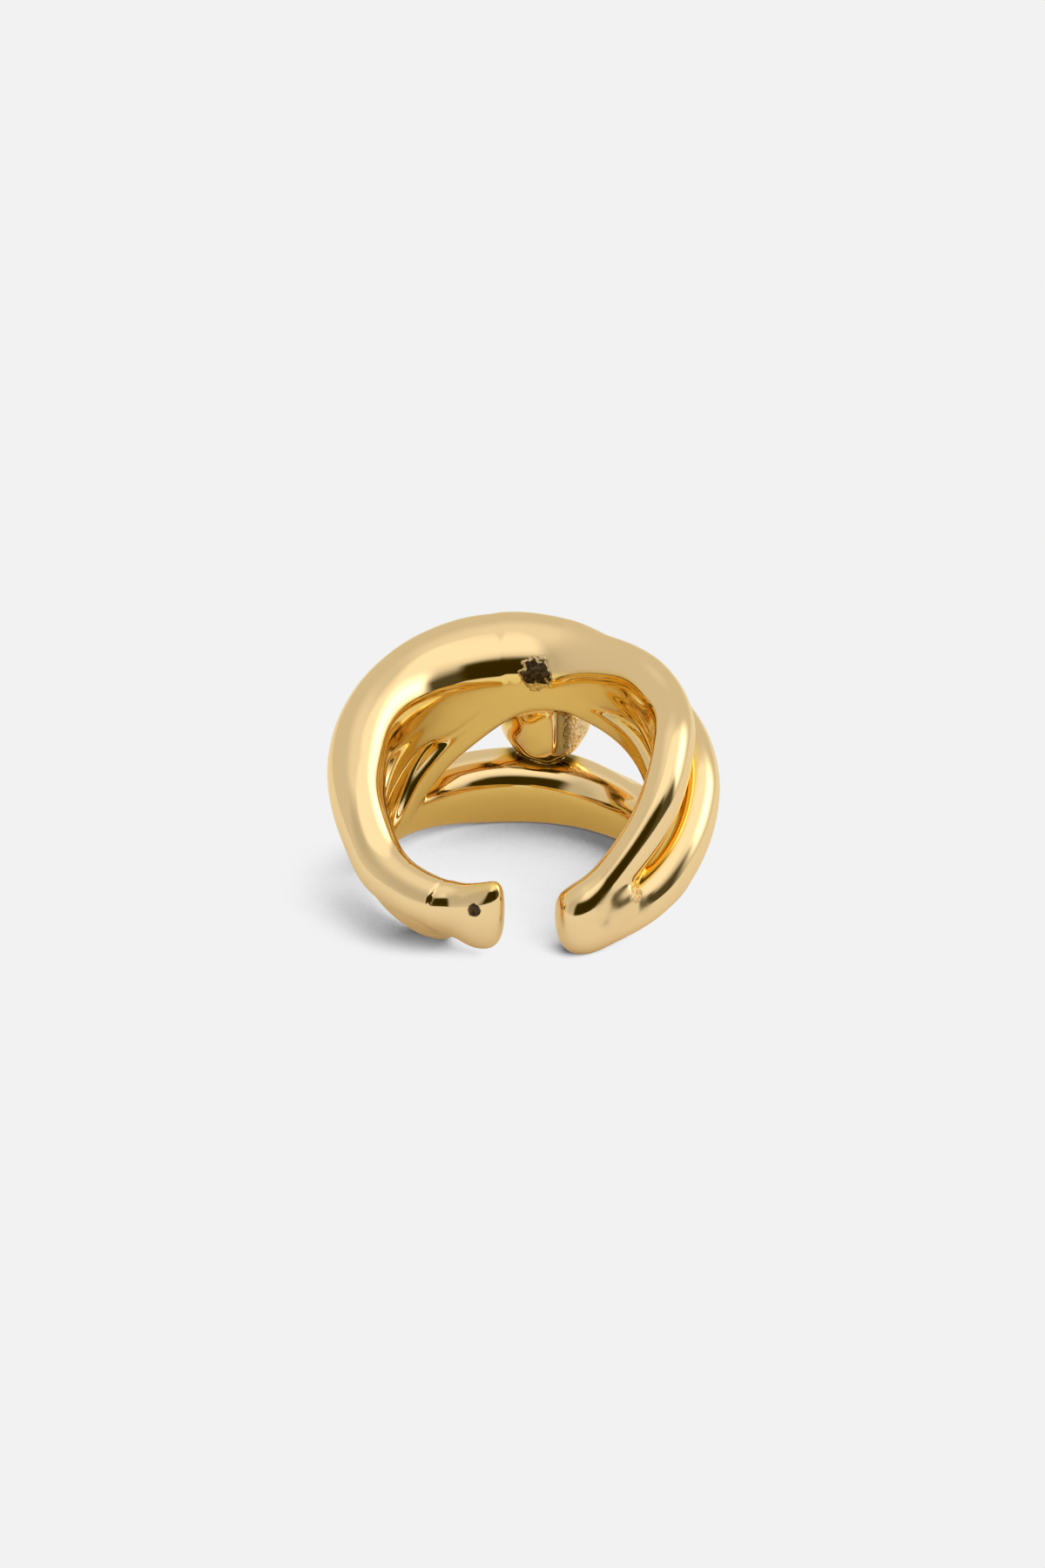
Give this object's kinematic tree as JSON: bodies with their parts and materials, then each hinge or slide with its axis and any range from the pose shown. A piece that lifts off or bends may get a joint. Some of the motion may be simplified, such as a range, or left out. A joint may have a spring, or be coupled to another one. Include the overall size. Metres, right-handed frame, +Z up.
{
  "type": "open finger ring",
  "caption": "Open finger ring cast in gold-plated brass: interlaced smooth strands round the finger, a nugget at the back and a gap between two blunt feet.",
  "frame": {"origin": "on the surface that the ring lies on, under the middle of its box", "axes": "+Z up from that surface, -Y towards the gap between the feet, the finger hole's axis leaning 13.7 degrees from +Z towards -Y"},
  "size_m": [0.0266, 0.0266, 0.0155],
  "materials": {
    "polished_gold": "polished gold plate over cast brass, with a fine haze, casting pits and darker creases"
  },
  "bodies": {
    "root": {"ring_casting": "polished_gold"}
  },
  "joints": []
}
